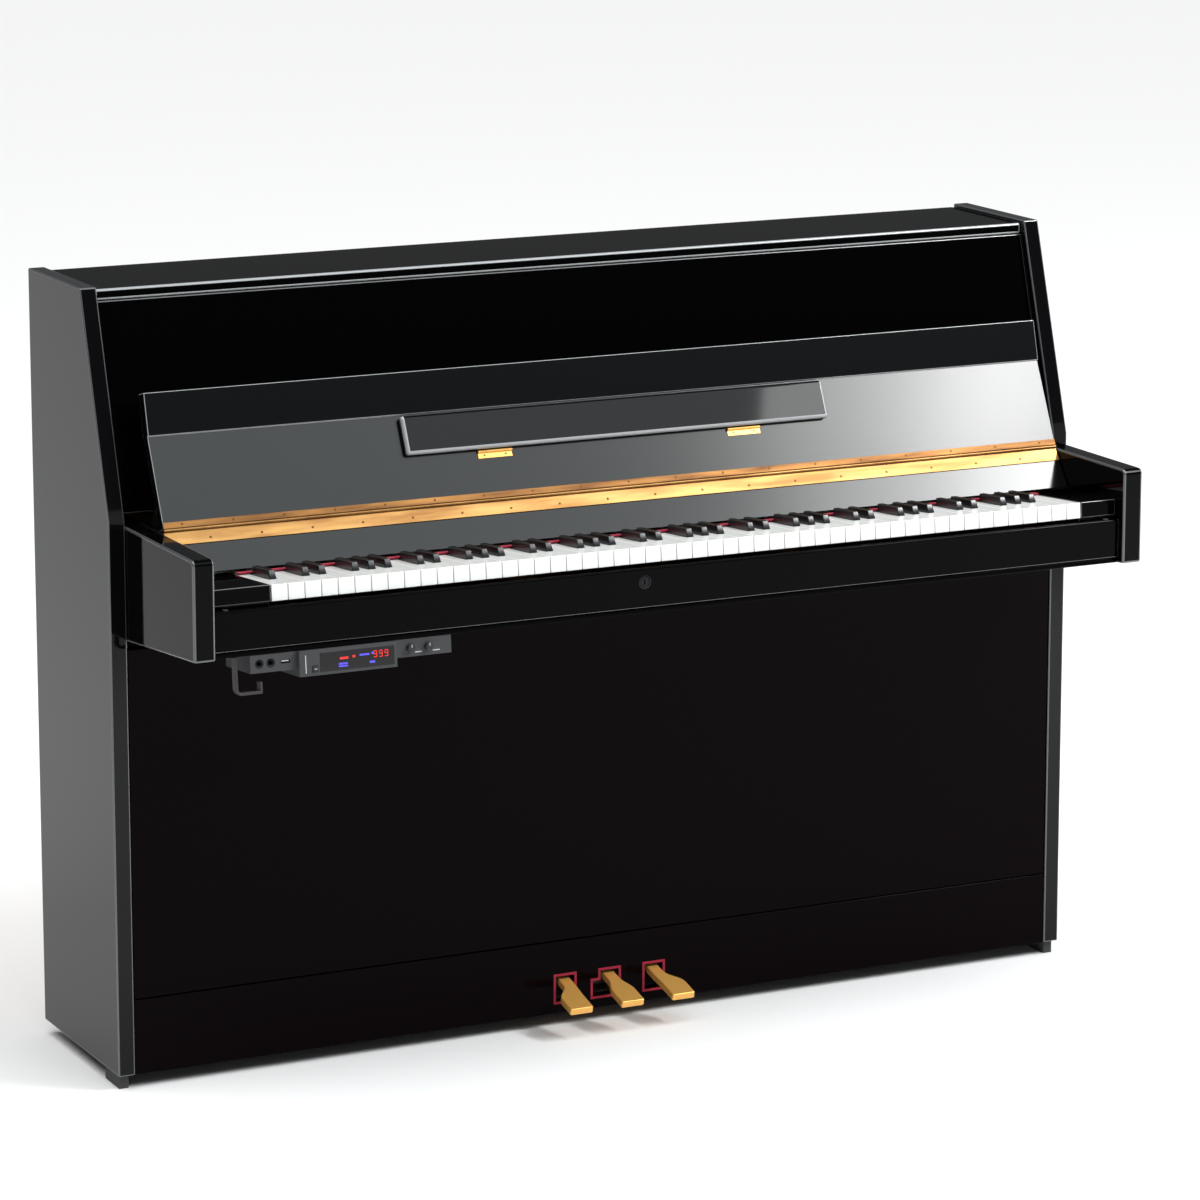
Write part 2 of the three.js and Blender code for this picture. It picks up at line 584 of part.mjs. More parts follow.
// ---------------------------------------------------------------- practice control unit under the key bed
function addControlUnit() {
  const unitTop = BED_BOTTOM - GAP;
  const back = 86;
  const low = 24;
  const tall = 34;
  const proud = 8;
  const bays = { start: -635, display: -569, knobs: -430, end: -348 };
  const body = join([
    box(bays.start, bays.end, 0, back, unitTop - low, unitTop),
    box(bays.display, bays.knobs, -proud, back, unitTop - tall, unitTop),
  ]);
  const holes = [];
  const knobRadius = 5.5;
  const knobXs = [bays.knobs + 22, bays.knobs + 48];
  const knobW = unitTop - 12;
  for (const x of knobXs) holes.push(new THREE.CylinderGeometry(3.2, 3.2, 16, 12).translate(x, 0, knobW));
  for (const x of [bays.start + 13, bays.start + 29]) {
    holes.push(new THREE.CylinderGeometry(3.6, 3.6, 28, 12).translate(x, 0, knobW));
  }
  holes.push(box(bays.start + 43, bays.start + 56, -5, 14, knobW - 2.5, knobW + 2.5));
  const buttonX = bays.display + 22;
  const buttonW = unitTop - 25;
  const buttonHalf = 3.6;
  const wellHalf = buttonHalf + 0.4;
  holes.push(box(
    buttonX - wellHalf, buttonX + wellHalf, -proud - 1, -proud + 8, buttonW - wellHalf, buttonW + wellHalf));
  add(keyboard, 'control_unit', cut(body, holes), plastic);
  knobXs.forEach((x, i) => {
    const cap = new THREE.CylinderGeometry(knobRadius, knobRadius, 7, 16).translate(0, -4, 0);
    const stem = new THREE.CylinderGeometry(2.6, 2.6, 9, 16);
    add(keyboard, `unit_knob_${i + 1}`, join([cap, stem]), satinBlack).position.set(x, 0, knobW);
  });
  const button = box(-buttonHalf, buttonHalf, -proud - 1.5, -proud + 5, -buttonHalf, buttonHalf);
  add(keyboard, 'unit_button', button, satinBlack).position.set(buttonX, 0, buttonW);

  // The headphone hook hangs from the bed beside the unit.
  const hook = new THREE.Shape();
  const left = bays.start - 20;
  const bottom = unitTop - 52;
  const bend = 9;
  const thick = 4;
  hook.moveTo(left - 6, unitTop);
  hook.lineTo(left - 6, unitTop - 3);
  hook.lineTo(left, unitTop - 3);
  hook.lineTo(left, bottom + bend);
  hook.absarc(left + bend, bottom + bend, bend, Math.PI, 1.5 * Math.PI, false);
  hook.lineTo(left + 38, bottom);
  hook.lineTo(left + 38, bottom + 16);
  hook.lineTo(left + 38 - thick, bottom + 16);
  hook.lineTo(left + 38 - thick, bottom + thick);
  hook.lineTo(left + bend, bottom + thick);
  hook.absarc(left + bend, bottom + bend, bend - thick, 1.5 * Math.PI, Math.PI, true);
  hook.lineTo(left + thick, unitTop);
  add(keyboard, 'headphone_hook', frontal(hook, 4, 16), steel);
}

addCase();
addBack();
addCasters();
addKeyboard();
addArms();
addFallboard();
addAction();
addPedals();
addControlUnit();

export default piano;
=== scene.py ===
import math

import bmesh
import bpy
from mathutils import Matrix, Vector


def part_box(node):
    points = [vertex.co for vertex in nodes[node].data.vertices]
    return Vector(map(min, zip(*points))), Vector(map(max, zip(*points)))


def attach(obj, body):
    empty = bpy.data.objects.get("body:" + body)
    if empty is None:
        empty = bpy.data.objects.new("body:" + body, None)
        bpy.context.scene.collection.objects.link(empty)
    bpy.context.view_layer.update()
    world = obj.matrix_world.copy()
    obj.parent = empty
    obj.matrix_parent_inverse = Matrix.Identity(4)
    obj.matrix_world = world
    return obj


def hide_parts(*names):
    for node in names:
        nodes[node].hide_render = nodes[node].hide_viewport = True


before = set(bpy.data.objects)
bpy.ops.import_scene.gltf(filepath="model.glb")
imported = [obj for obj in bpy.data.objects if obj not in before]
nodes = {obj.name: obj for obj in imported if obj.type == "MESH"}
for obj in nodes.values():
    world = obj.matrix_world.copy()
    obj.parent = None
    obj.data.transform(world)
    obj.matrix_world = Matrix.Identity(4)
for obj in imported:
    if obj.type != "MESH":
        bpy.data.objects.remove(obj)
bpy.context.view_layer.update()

MM = 0.001
TILT = math.radians(4.9)  # the keyboard rises towards the player
LEAF_LEAN = math.radians(25)  # the open fallboard leaf leans back
SHARP_EDGE = math.radians(31)  # edges sharper than this are rounded

# Three spaces that pieces are drawn in. The piano's own. The keyboard's: y to the rear and z up from
# the white keys' top front edge. The leaf's: y up its face from the long hinge's pin, z out of it.
PIANO = Matrix.Identity(4)
KEYS = Matrix.Translation((0, -0.2465, 0.734)) @ Matrix.Rotation(-TILT, 4, "X")
HINGE_PIN = Matrix.Translation((0, -0.0855, 0.783))
LEAF = HINGE_PIN @ Matrix.Rotation(math.pi / 2 - LEAF_LEAN, 4, "X")


# ---------------------------------------------------------------- materials
def material(name, color, roughness, **inputs):
    made = bpy.data.materials.new(name)
    made.use_nodes = True
    shader = made.node_tree.nodes["Principled BSDF"]
    shader.inputs["Base Color"].default_value = (*color, 1)
    shader.inputs["Roughness"].default_value = roughness
    for socket, value in inputs.items():
        shader.inputs[socket.replace("_", " ")].default_value = value
    return made


def glow(name, color, strength):
    made = material(name, color, 0.4)
    shader = made.node_tree.nodes["Principled BSDF"]
    shader.inputs["Emission Color"].default_value = (*color, 1)
    shader.inputs["Emission Strength"].default_value = strength
    return made


def add_noise(tree, scale, detail, stretch):
    """Noise in the object's own space. The smaller an axis's stretch, the longer the noise along it."""
    coordinates = tree.nodes.new("ShaderNodeTexCoord")
    mapping = tree.nodes.new("ShaderNodeMapping")
    mapping.inputs["Scale"].default_value = stretch
    noise = tree.nodes.new("ShaderNodeTexNoise")
    noise.inputs["Scale"].default_value = scale
    noise.inputs["Detail"].default_value = detail
    tree.links.new(coordinates.outputs["Object"], mapping.inputs["Vector"])
    tree.links.new(mapping.outputs["Vector"], noise.inputs["Vector"])
    return noise


def add_bump(made, scale, strength, distance):
    """Fine relief, the same along every axis."""
    tree = made.node_tree
    noise = add_noise(tree, scale, detail=4, stretch=(1, 1, 1))
    bump = tree.nodes.new("ShaderNodeBump")
    bump.inputs["Strength"].default_value = strength
    bump.inputs["Distance"].default_value = distance
    tree.links.new(noise.outputs["Fac"], bump.inputs["Height"])
    tree.links.new(bump.outputs["Normal"], tree.nodes["Principled BSDF"].inputs["Normal"])


def add_grain(made, dark, light, stretch):
    """Grain between two tones, in wood or in rubbed brass."""
    tree = made.node_tree
    noise = add_noise(tree, scale=9, detail=6, stretch=stretch)
    ramp = tree.nodes.new("ShaderNodeValToRGB")
    ramp.color_ramp.elements[0].position = 0.35
    ramp.color_ramp.elements[0].color = (*dark, 1)
    ramp.color_ramp.elements[1].position = 0.65
    ramp.color_ramp.elements[1].color = (*light, 1)
    tree.links.new(noise.outputs["Fac"], ramp.inputs["Fac"])
    tree.links.new(ramp.outputs["Color"], tree.nodes["Principled BSDF"].inputs["Base Color"])


# Polished lacquer, all one finish, in copies set piece by piece for how the light falls there. They differ
# in how much of the room they mirror: the dimmer, darker copies are painted shade, and the leaf's copy
# mirrors more than the rest.
ebony = material("ebony_gloss", (0.0015, 0.0015, 0.002), 0.04, Specular_IOR_Level=0.2)
ebony_leaf = material("ebony_leaf", (0.0015, 0.0017, 0.002), 0.16, Specular_IOR_Level=0.4)
ebony_arm = material("ebony_arm", (0.001, 0.001, 0.0012), 0.05, Specular_IOR_Level=0.06)
ebony_deep = material("ebony_deep", (0.0006, 0.0006, 0.0006), 0.05, Specular_IOR_Level=0.04)
ebony_lid = material("ebony_lid", (0.0006, 0.0006, 0.0006), 0.08, Specular_IOR_Level=0.01)
# Painted highlights for the lacquer's edges, a bright one and a dim one, in place of the glints the edges
# would catch.
lacquer_edge = material("lacquer_edge", (0.32, 0.33, 0.34), 0.2, Specular_IOR_Level=1.0)
lacquer_edge_dark = material("lacquer_edge_dark", (0.07, 0.072, 0.075), 0.2, Specular_IOR_Level=1.0)
ebony_door = material("ebony_door", (0.0022, 0.0008, 0.0012), 0.09, Specular_IOR_Level=0.03)
satin_black = material("satin_black", (0.012, 0.012, 0.013), 0.42)
key_white = material("key_white", (0.8, 0.8, 0.78), 0.13, Subsurface_Weight=0.05)
key_black = material("key_black", (0.005, 0.005, 0.006), 0.27, Specular_IOR_Level=0.85)

brass = material("brass_polished", (0.95, 0.5, 0.12), 0.22, Metallic=0.5)
# Dark brass for the screws, which also paints shade as thin rings in the gaps between the hinge's knuckles.
dark_brass_and_shade = material("brass_shadow", (0.1, 0.045, 0.015), 0.4, Metallic=1)
steel = material("zinc_steel", (0.5, 0.5, 0.52), 0.32, Metallic=1)
nickel = material("dark_nickel", (0.02, 0.02, 0.022), 0.3, Metallic=1)
hook_grey = material("hook_grey", (0.05, 0.048, 0.045), 0.45, Metallic=0.6)
copper = material("copper_wire", (0.62, 0.27, 0.13), 0.35, Metallic=1)
wire = material("steel_wire", (0.7, 0.71, 0.72), 0.25, Metallic=1)
# The hinge's two leaves are one brass. The upper leaf's copy is darker, painted shade for how the light
# falls on it.
hinge_light = material("brass_hinge_lower", (0.35, 0.18, 0.05), 0.36, Metallic=0.8)
hinge_upper_shaded = material("brass_hinge_upper", (0.2, 0.08, 0.02), 0.36, Metallic=0.8)
add_grain(hinge_light, (0.22, 0.1, 0.028), (0.42, 0.23, 0.075), (0.9, 5, 9))
add_grain(hinge_upper_shaded, (0.08, 0.03, 0.009), (0.27, 0.125, 0.035), (0.9, 5, 9))

rubber = material("rubber", (0.016, 0.016, 0.016), 0.75)
glass_black = material("display_glass", (0.003, 0.003, 0.004), 0.05)
label_grey = material("label_grey", (0.45, 0.46, 0.47), 0.5)
red_glow = glow("display_red", (0.7, 0.02, 0.02), 0.4)
blue_glow = glow("display_blue", (0.09, 0.07, 0.7), 0.3)
crimson_felt = material("crimson_felt", (0.3, 0.006, 0.03), 0.95, Sheen_Weight=0.1)
add_bump(crimson_felt, 1200, 0.6, 0.0006)
beech = material("beech", (0.5, 0.34, 0.18), 0.5)
add_grain(beech, (0.36, 0.21, 0.10), (0.52, 0.34, 0.19), (1, 6, 0.25))


def frame_look(name):
    """A material that the frame brings along, with its plain colour."""
    return bpy.data.materials[name]


FINISHES = {
    ebony: ["side_panel_left", "side_panel_right", "music_desk"],
    ebony_leaf: ["fallboard_lower", "fallboard_leaf"],
    ebony_arm: ["arm_left", "arm_right", "key_block_left", "key_block_right"],
    ebony_deep: ["upper_front_panel", "key_bed", "key_slip"],
    ebony_lid: ["top_lid"],
    ebony_door: ["bottom_door", "bottom_rail"],
    satin_black: ["bottom_board", "unit_knob_1", "unit_knob_2", "unit_button"],
    brass: ["pedal_left", "pedal_middle", "pedal_right"],
    hinge_light: ["fallboard_hinge_lower"],
    hinge_upper_shaded: ["fallboard_hinge_upper"],
    steel: ["rear_caster_fork_left", "rear_caster_fork_right", "pedal_yoke_middle"],
    nickel: ["lock_cylinder"],
    hook_grey: ["headphone_hook"],
    copper: ["strings_bass"],
    wire: ["strings_treble"],
    beech: ["back_frame", "bass_bridge", "treble_bridge", "key_frame", "action_rail"],
    frame_look("plate_gold"): ["iron_plate"],
    frame_look("rubber"): [
        "front_foot_left", "front_foot_right", "rear_caster_wheel_left", "rear_caster_wheel_right"],
    frame_look("unit_plastic"): ["control_unit"],
    frame_look("white_felt"): ["hammer_set", "damper_set", "muffler_rail"],
    frame_look("spruce"): ["soundboard"],
}

# Edge radii of the frame's own solids, in millimetres; the rest get the usual one.
EDGE = 1.2
EDGES = {
    "side_panel_left": 2, "side_panel_right": 2, "top_lid": 3, "upper_front_panel": 1.5, "arm_left": 3,
    "arm_right": 3, "fallboard_leaf": 2.5, "music_desk": 4.5, "pedal_left": 1.6, "pedal_middle": 1.6,
    "pedal_right": 1.6, "back_frame": 3, "fallboard_hinge_lower": 0.3, "fallboard_hinge_upper": 0.3,
    "control_unit": 0.8, "unit_button": 0.5, "lock_cylinder": 0.4, "key_slip": 1, "soundboard": 1,
    "rear_caster_wheel_left": 2.5, "rear_caster_wheel_right": 2.5, "headphone_hook": 1.2,
}
# These keep their sharp edges.
SHARP = ["strings_bass", "strings_treble", "damper_set", "hammer_set", "key_frame"]
# A paler, glossier strip along these pieces' edges is a painted highlight, standing in for the highlights
# on polished lacquer; the dim one is a weaker painted highlight.
PAINTED_HIGHLIGHT_EDGES = {
    lacquer_edge: ["top_lid", "fallboard_leaf", "music_desk"],
    lacquer_edge_dark: [
        "side_panel_left", "side_panel_right", "upper_front_panel", "arm_left", "arm_right", "key_slip",
        "key_block_left", "key_block_right"],
}


def shade_smooth(data):
    data.polygons.foreach_set("use_smooth", [True] * len(data.polygons))


def add_bevel(piece, radius, segments):
    """Rounds every sharp edge."""
    bevel = piece.modifiers.new("edges", "BEVEL")
    bevel.width = radius
    bevel.segments = segments
    bevel.limit_method = "ANGLE"
    bevel.angle_limit = SHARP_EDGE
    return bevel


def keep_flat(piece):
    """Lets the broad faces set the shading, so that flat lacquer mirrors like a flat sheet."""
    weighted = piece.modifiers.new("flat shading", "WEIGHTED_NORMAL")
    weighted.mode = "FACE_AREA"
    weighted.weight = 100
    weighted.keep_sharp = True


def round_edges(piece, radius):
    """Merges the flat faces' triangles, rounds the edges, and gives some pieces' rounded edges a painted
    highlight.
    """
    weld = piece.modifiers.new("weld", "WELD")
    weld.merge_threshold = 0.02 * MM
    flat = piece.modifiers.new("flat", "DECIMATE")
    flat.decimate_type = "DISSOLVE"
    flat.angle_limit = math.radians(1)
    bevel = add_bevel(piece, radius, segments=3)
    bevel.use_clamp_overlap = True
    for look, members in PAINTED_HIGHLIGHT_EDGES.items():
        if piece.name in members:
            piece.data.materials.append(look)
            bevel.material = 1
    keep_flat(piece)
    shade_smooth(piece.data)


def finish_frame():
    for look, members in FINISHES.items():
        for node in members:
            piece = nodes[node]
            piece.data.materials.clear()
            piece.data.materials.append(look)
            if node not in SHARP:
                round_edges(piece, EDGES.get(node, EDGE) * MM)


# ---------------------------------------------------------------- shape helpers
def place(name, mesh, body, look, space=PIANO, edge=0.1 * MM, segments=2):
    """Makes a piece of a bmesh drawn in one of the spaces, and lets it ride on a body."""
    data = bpy.data.meshes.new(name)
    bmesh.ops.recalc_face_normals(mesh, faces=mesh.faces)
    mesh.transform(space)
    mesh.to_mesh(data)
    mesh.free()
    shade_smooth(data)
    data.materials.append(look)
    piece = bpy.data.objects.new(name, data)
    bpy.context.scene.collection.objects.link(piece)
    add_bevel(piece, edge, segments)
    keep_flat(piece)
    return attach(piece, body)


def in_metres(point):
    return [v * MM for v in point]


def add_box(mesh, low, high):
    """A box between two corners, in metres."""
    made = bmesh.ops.create_cube(mesh, size=1)
    size = [b - a for a, b in zip(low, high)]
    middle = [(a + b) / 2 for a, b in zip(low, high)]
    bmesh.ops.scale(mesh, vec=size, verts=made["verts"])
    bmesh.ops.translate(mesh, vec=middle, verts=made["verts"])


def add_mm_box(mesh, low, high):
    """A box between two corners, in millimetres."""
    add_box(mesh, in_metres(low), in_metres(high))


def box_piece(name, low, high, body, look, space=PIANO, edge=0.4 * MM):
    """A piece that is one box, between two corners in millimetres."""
    mesh = bmesh.new()
    add_mm_box(mesh, low, high)
    return place(name, mesh, body, look, space, edge)


def add_cylinder(mesh, centre, radius, depth, axis, segments):
    """A cylinder about its centre, in millimetres, with its axis along x, y or z."""
    turns = {
        "x": Matrix.Rotation(math.pi / 2, 4, "Y"),
        "y": Matrix.Rotation(math.pi / 2, 4, "X"),
        "z": Matrix.Identity(4),
    }
    bmesh.ops.create_cone(
        mesh, cap_ends=True, segments=segments, radius1=radius * MM, radius2=radius * MM, depth=depth * MM,
        matrix=Matrix.Translation(in_metres(centre)) @ turns[axis])


def add_walls(mesh, below, above):
    """The faces between two closed loops of vertices."""
    for i in range(len(below)):
        j = (i + 1) % len(below)
        mesh.faces.new((below[i], below[j], above[j], above[i]))


def add_stack(mesh, rings):
    """A solid through rings of (x, y, z) points in metres, closed at its foot and its top."""
    loops = [[mesh.verts.new(point) for point in ring] for ring in rings]
    mesh.faces.new(loops[0][::-1])
    mesh.faces.new(loops[-1])
    for below, above in zip(loops, loops[1:]):
        add_walls(mesh, below, above)


def add_ring(mesh, centre, inner, outer, height, segments):
    """A ring round a hole, in millimetres, on a face that looks along -y. It stands out by its height
    at its inner edge, a little less at its outer one, and starts a little inside the face."""
    x, face, z = centre
    step = 0.2
    section = [
        (inner, face + step), (inner, face - height), (outer, face - height + step), (outer, face + step)]
    angles = [2 * math.pi * i / segments for i in range(segments)]
    loops = [
        [mesh.verts.new(in_metres((x + radius * math.cos(a), y, z + radius * math.sin(a)))) for a in angles]
        for radius, y in section]
    for inside, outside in zip(loops, loops[1:] + loops[:1]):
        add_walls(mesh, inside, outside)


# ---------------------------------------------------------------- keys
WHITE_PITCH = 23.68 * MM
WHITE_COUNT = 52
KEYBOARD_CENTRE = 15 * MM
KEY_SEAM = 1 * MM
GROUP_STARTS = [0, 9, 16, 23, 30, 37, 44, WHITE_COUNT]
KEY_HEIGHT = 22 * MM
HEAD_LENGTH = 48.6 * MM
KEY_LENGTH = 332 * MM

SHARP_HALF = 5.25 * MM
SHARP_ROOM = 1.4 * MM  # between a sharp and the white tails beside it
SHARP_START = 50.8 * MM
SHARP_END = 112 * MM
SHARP_FOOT = -KEY_HEIGHT + 2 * MM
SHARP_SHOULDER = 0.5 * MM  # its sides lean in above this height
SHARP_TOP = 11.5 * MM
SHARP_SLOPE = 5 * MM  # of the front, and the taper is that of each side
SHARP_TAPER = 1.1 * MM
TAIL_END = 218 * MM
TAIL_TOP = 1.5 * MM


def has_sharp(white):
    """Whether a sharp stands to the right of a white key."""
    return 0 <= white < WHITE_COUNT - 1 and white % 7 not in (1, 4)


def seam_x(white):
    """The middle of the seam to the left of a white key."""
    return KEYBOARD_CENTRE + (white - WHITE_COUNT / 2) * WHITE_PITCH


def white_key(white, group):
    """One white key: a broad head, and a tail cut in beside the sharps."""
    left = seam_x(white) + KEY_SEAM / 2
    right = seam_x(white + 1) - KEY_SEAM / 2
    notch = SHARP_HALF + SHARP_ROOM
    outline = [(left, 0), (right, 0)]
    if has_sharp(white):
        tail = seam_x(white + 1) - notch
        outline += [(right, HEAD_LENGTH), (tail, HEAD_LENGTH), (tail, KEY_LENGTH)]
    else:
        outline.append((right, KEY_LENGTH))
    if has_sharp(white - 1):
        tail = seam_x(white) + notch
        outline += [(tail, KEY_LENGTH), (tail, HEAD_LENGTH), (left, HEAD_LENGTH)]
    else:
        outline.append((left, KEY_LENGTH))
    mesh = bmesh.new()
    add_stack(mesh, [[(x, y, level) for x, y in outline] for level in (-KEY_HEIGHT, 0)])
    key = place(f"white_key_{white + 1}", mesh, f"white_keys_{group}", key_white, KEYS, 0.7 * MM)
    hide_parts(f"white_keys_{group}")


def black_key(white, group):
    """The sharp to the right of a white key: narrower at the top, with a sloping front."""
    left = seam_x(white + 1) - SHARP_HALF
    right = seam_x(white + 1) + SHARP_HALF
    lower = [(left, SHARP_START), (right, SHARP_START), (right, SHARP_END), (left, SHARP_END)]
    upper = [
        (left + SHARP_TAPER, SHARP_START + SHARP_SLOPE), (right - SHARP_TAPER, SHARP_START + SHARP_SLOPE),
        (right - SHARP_TAPER, SHARP_END), (left + SHARP_TAPER, SHARP_END)]
    levels = ((lower, SHARP_FOOT), (lower, SHARP_SHOULDER), (upper, SHARP_TOP))
    mesh = bmesh.new()
    add_stack(mesh, [[(x, y, level) for x, y in ring] for ring, level in levels])
    add_box(mesh, (left, SHARP_END - MM, SHARP_FOOT), (right, TAIL_END, TAIL_TOP))
    key = place(f"black_key_{white + 1}", mesh, f"black_keys_{group}", key_black, KEYS, 1.0 * MM, 3)
    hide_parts(f"black_keys_{group}")


def make_key_felt():
    """The felt that closes the gap between the key tops and the fallboard."""
    start, end = seam_x(0) / MM, seam_x(WHITE_COUNT) / MM
    front, rear, foot, top = 113.5, 126, 1.4, 3.4
    box_piece("key_felt", (start, front, foot), (end, rear, top), "case", crimson_felt, KEYS)


def make_keys():
    for group, (first, last) in enumerate(zip(GROUP_STARTS, GROUP_STARTS[1:]), start=1):
        for white in range(first, last):
            white_key(white, group)
            if has_sharp(white):
                black_key(white, group)
    make_key_felt()


# ---------------------------------------------------------------- fallboard, hinge and desk details
SCREW_SIDES = 14
HINGE_REACH = 660  # from the middle of the long hinge to its last screw
HINGE_SCREWS = 19
HINGE_KNUCKLES = 45
BOARD_RISE, BOARD_RUN = 53, 41  # the slope of the board under the hinge
DESK_HINGE_X = 192
DESK_HINGE_HALF = 25.5


def along_hinge(i, gaps):
    return -HINGE_REACH + 2 * HINGE_REACH * i / gaps


def make_hinge_screws():
    gaps = HINGE_SCREWS - 1
    upper = bmesh.new()
    for i in range(HINGE_SCREWS):
        centre = (along_hinge(i, gaps), 7.4, 1.7)
        add_cylinder(upper, centre, radius=1.5, depth=0.7, axis="z", segments=SCREW_SIDES)
    place("hinge_screws_upper", upper, "fallboard", dark_brass_and_shade, LEAF)

    # The lower leaf slopes down and forward from the pin.
    slope = Matrix.Rotation(math.atan2(BOARD_RISE, BOARD_RUN), 4, "X")
    board = HINGE_PIN @ slope @ Matrix.Rotation(math.pi, 4, "Z")
    lower = bmesh.new()
    for i in range(gaps):
        centre = (along_hinge(i + 0.5, gaps), 14, -1.4)
        add_cylinder(lower, centre, radius=1.7, depth=0.7, axis="z", segments=SCREW_SIDES)
    place("hinge_screws_lower", lower, "case", dark_brass_and_shade, board)


def make_hinge_knuckles():
    """Thin rings of painted shade round the barrel, for the gaps between the hinge's knuckles."""
    knuckles = bmesh.new()
    for i in range(HINGE_KNUCKLES):
        centre = (along_hinge(i, HINGE_KNUCKLES - 1), 0, 0)
        add_cylinder(knuckles, centre, radius=2.28, depth=0.5, axis="x", segments=16)
    place("hinge_knuckle_painted_shade", knuckles, "case", dark_brass_and_shade, LEAF)


def make_desk_hinge(word, x):
    """A small hinge of the music desk: a leaf, a barrel and two screws."""
    hinge = bmesh.new()
    add_mm_box(hinge, (x - DESK_HINGE_HALF, 59, 0.1), (x + DESK_HINGE_HALF, 68.5, 1.1))
    add_cylinder(hinge, (x, 68.3, 2.2), radius=2.1, depth=2 * DESK_HINGE_HALF, axis="x", segments=16)
    place(f"desk_hinge_{word}", hinge, "fallboard", brass, LEAF, 0.2 * MM)
    screws = bmesh.new()
    for side in (-1, 1):
        centre = (x + 16 * side, 63, 1.2)
        add_cylinder(screws, centre, radius=1.4, depth=0.6, axis="z", segments=SCREW_SIDES)
    place(f"desk_hinge_screws_{word}", screws, "fallboard", dark_brass_and_shade, LEAF)


def make_fallboard_details():
    make_hinge_screws()
    make_hinge_knuckles()
    make_desk_hinge("left", -DESK_HINGE_X)
    make_desk_hinge("right", DESK_HINGE_X)


# ---------------------------------------------------------------- lock and buffers
LOCK_X, LOCK_Z = -62, 688
SLIP_FRONT = -257.5
BUFFER_X = 668


def make_lock_ring():
    ring = bmesh.new()
    add_ring(ring, (LOCK_X, SLIP_FRONT, LOCK_Z), inner=7.4, outer=9.6, height=0.7, segments=32)
    place("lock_escutcheon", ring, "case", nickel)


def make_slip_buffers():
    low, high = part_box("key_slip")
    middle, top = (low[1] + high[1]) / 2 / MM, high[2] / MM
    for word, x in (("left", -BUFFER_X), ("right", BUFFER_X)):
        buffer = bmesh.new()
        add_cylinder(buffer, (x, middle, top + 0.5), radius=4, depth=1.4, axis="z", segments=20)
        place(f"slip_buffer_{word}", buffer, "case", rubber, edge=0.4 * MM)


# ---------------------------------------------------------------- pedals' felts
PEDAL_SPACING = 70
RAIL_FRONT = -23.6
FELT_THICKNESS = 1.4
FELT_RIM = 3.5
SLOT_HALF = 14.5
SLOT_FOOT = 37
SLOT_TOP = 74
LOCK_STEP = 12  # how much wider the middle slot is where its pedal locks
LOCK_STEP_TOP = 60


def make_pedal_felt(word, x, step):
    """A felt frame round a slot, which is wider by a step on its left, below the step's top."""
    left, right = x - SLOT_HALF, x + SLOT_HALF
    rim, foot, top = FELT_RIM, SLOT_FOOT, SLOT_TOP
    bars = [
        (left - step - rim, right + rim, foot - rim, foot), (left - rim, right + rim, top, top + rim),
        (right, right + rim, foot, top)]
    if step:
        bars += [
            (left - step - rim, left - step, foot, LOCK_STEP_TOP + rim),
            (left - step, left, LOCK_STEP_TOP, LOCK_STEP_TOP + rim),
            (left - rim, left, LOCK_STEP_TOP + rim, top)]
    else:
        bars.append((left - rim, left, foot, top))
    felt = bmesh.new()
    for x0, x1, z0, z1 in bars:
        add_mm_box(felt, (x0, RAIL_FRONT - FELT_THICKNESS, z0), (x1, RAIL_FRONT, z1))
    place(f"pedal_felt_{word}", felt, "case", crimson_felt, edge=0.3 * MM)


def make_pedal_felts():
    make_pedal_felt("left", -PEDAL_SPACING, 0)
    make_pedal_felt("middle", 0, LOCK_STEP)
    make_pedal_felt("right", PEDAL_SPACING, 0)


# ---------------------------------------------------------------- practice unit
UNIT_TOP = -90.3
UNIT_MIDDLE = UNIT_TOP - 12  # the height of the sockets and the knobs
SOCKETS_X = (-622, -606)
KNOBS_X = (-408, -382)
DISPLAY_FRONT = -8
DISPLAY_FOOT = UNIT_TOP - 30
FIGURES_X = (-464, -456, -448)
FIGURE_FOOT = UNIT_TOP - 18
FIGURE_WIDTH, FIGURE_HEIGHT = 5, 9
BAR = 1  # the thickness of a figure's bars


def make_sockets():
    for i, x in enumerate(SOCKETS_X, start=1):
        nut = bmesh.new()
        add_ring(nut, (x, 0, UNIT_MIDDLE), inner=4.0, outer=5.6, height=0.9, segments=24)
        place(f"headphone_socket_nut_{i}", nut, "case", nickel, KEYS)
    low, high = (-590.5, 1, UNIT_MIDDLE - 0.2), (-580.5, 12, UNIT_MIDDLE + 1.6)
    box_piece("data_socket_tongue", low, high, "case", label_grey, KEYS, 0.1 * MM)


def make_display_glass():
    front, rear = DISPLAY_FRONT - 0.5, DISPLAY_FRONT + 0.4
    low, high = (-540, front, DISPLAY_FOOT), (-434, rear, UNIT_TOP - 5)
    box_piece("display_glass", low, high, "case", glass_black, KEYS)
    low, high = (-561, front, DISPLAY_FOOT), (-559.6, rear, UNIT_TOP - 6)
    box_piece("display_light_bar", low, high, "case", label_grey, KEYS, 0.2 * MM)


def display_piece(name, bars, depth, look):
    """Lit bars on the display, each of (left, right, foot, top), that stand out by a depth."""
    mesh = bmesh.new()
    for x0, x1, z0, z1 in bars:
        add_mm_box(mesh, (x0, DISPLAY_FRONT - depth, z0), (x1, DISPLAY_FRONT - 0.4, z1))
    place(name, mesh, "case", look, KEYS)


